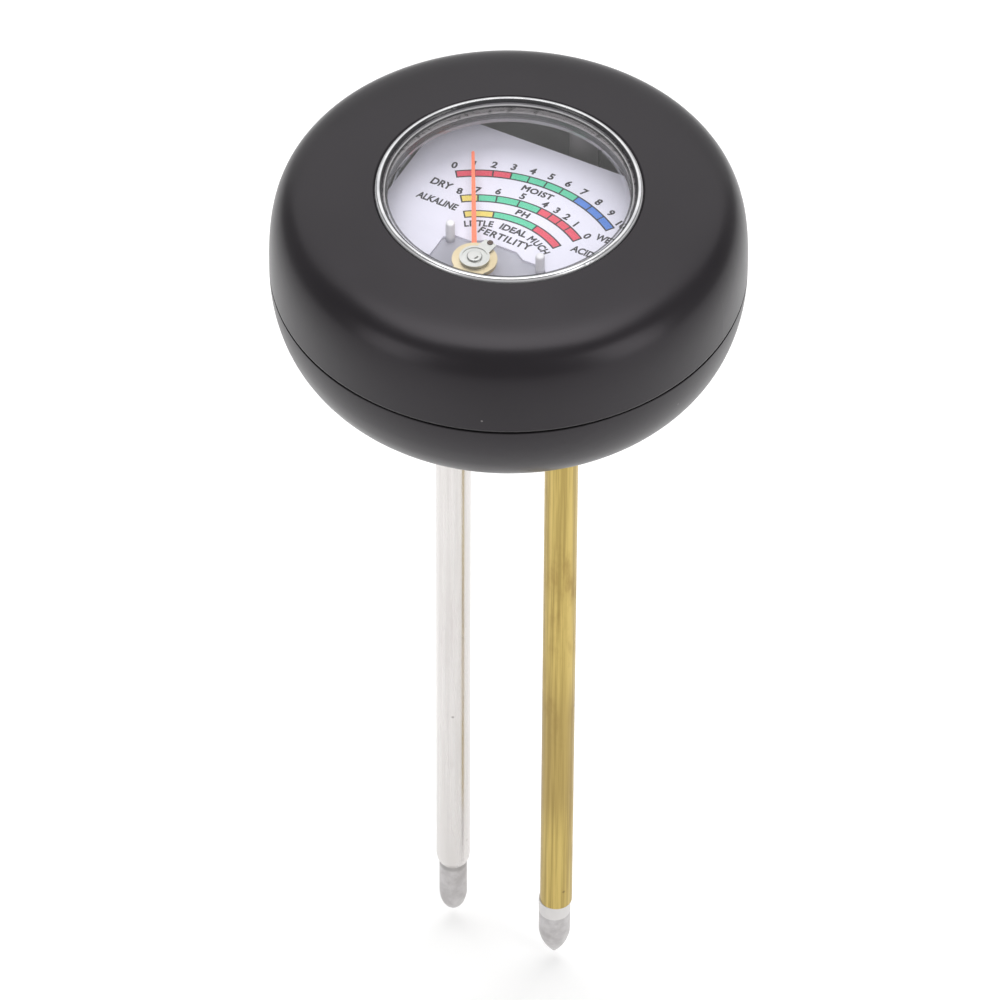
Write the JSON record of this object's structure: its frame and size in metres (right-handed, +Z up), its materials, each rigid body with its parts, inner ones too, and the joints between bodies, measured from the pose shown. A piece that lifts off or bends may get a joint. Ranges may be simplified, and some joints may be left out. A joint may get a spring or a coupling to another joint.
{
  "type": "soil moisture meter",
  "caption": "Round pebble-shaped soil meter: black two-part head with a clear window over a moving-coil dial, on an aluminium and a brass tube probe with plastic tips.",
  "frame": {"origin": "centre of the head's flat underside, on the head's axis, where the soil's surface meets a fully inserted meter", "axes": "+Z up along the head's axis towards the window, +Y towards the dial's twelve o'clock, +X towards the brass probe"},
  "size_m": [0.077, 0.077, 0.1781],
  "materials": {
    "shell_plastic": "soft-touch black",
    "clear_plastic": "clear, polished",
    "screw_steel": "zinc plated",
    "dial_white": "white print",
    "frame_plastic": "grey moulded",
    "yoke_steel": "zinc plated",
    "magnet": "ground",
    "movement_brass": "bright",
    "nickel": "nickel plated",
    "bobbin_aluminium": "thin sheet",
    "copper_wire": "enamelled copper wire",
    "pointer_orange": "orange paint",
    "spring_bronze": "bronze strip",
    "dark_bronze": "oxidised bronze",
    "probe_aluminium": "matte drawn tube",
    "probe_brass": "dull drawn tube",
    "tip_plastic": "milky grey",
    "tinned": "tinned",
    "wire_red": "insulation",
    "wire_black": "insulation"
  },
  "bodies": {
    "head": {"upper_shell": "shell_plastic", "lower_shell": "shell_plastic", "window_lens": "clear_plastic", "case_screws": "screw_steel", "dial_plate": "dial_white", "dial_screws": "screw_steel", "movement_frame": "frame_plastic", "frame_screws": "screw_steel", "yoke_ring": "yoke_steel", "core_magnet": "magnet", "core_pins": "movement_brass", "top_bridge": "movement_brass", "bottom_bridge": "movement_brass", "bridge_screws": "screw_steel", "upper_jewel_screw": "nickel", "lower_jewel_screw": "movement_brass", "aluminium_probe": "probe_aluminium", "brass_probe": "probe_brass", "aluminium_probe_tip": "tip_plastic", "brass_probe_tip": "tip_plastic", "probe_retainers": "tinned", "probe_lugs": "tinned", "lug_rivets": "movement_brass", "aluminium_lead": "wire_black", "brass_lead": "wire_red"},
    "armature": {"coil_bobbin": "bobbin_aluminium", "coil_winding": "copper_wire", "upper_staff": "screw_steel", "lower_staff": "screw_steel", "pointer": "pointer_orange", "balance_weights": "movement_brass", "upper_hairspring": "spring_bronze", "lower_hairspring": "spring_bronze"},
    "adjuster": {"zero_adjuster": "nickel", "spring_stud": "dark_bronze"}
  },
  "joints": [
    {"name": "pointer_hinge", "type": "hinge", "parent": "head", "child": "armature", "pos_m": [-0.00035, -0.01115, 0.0161], "axis": [0, 0, -1], "range_deg": [-14.9, 76.2], "stiffness_Nm_per_rad": 0.00002},
    {"name": "zero_adjuster_hinge", "type": "hinge", "parent": "head", "child": "adjuster", "pos_m": [-0.00035, -0.01115, 0.0285], "axis": [0, 0, -1], "range_deg": [-8, 8]}
  ]
}
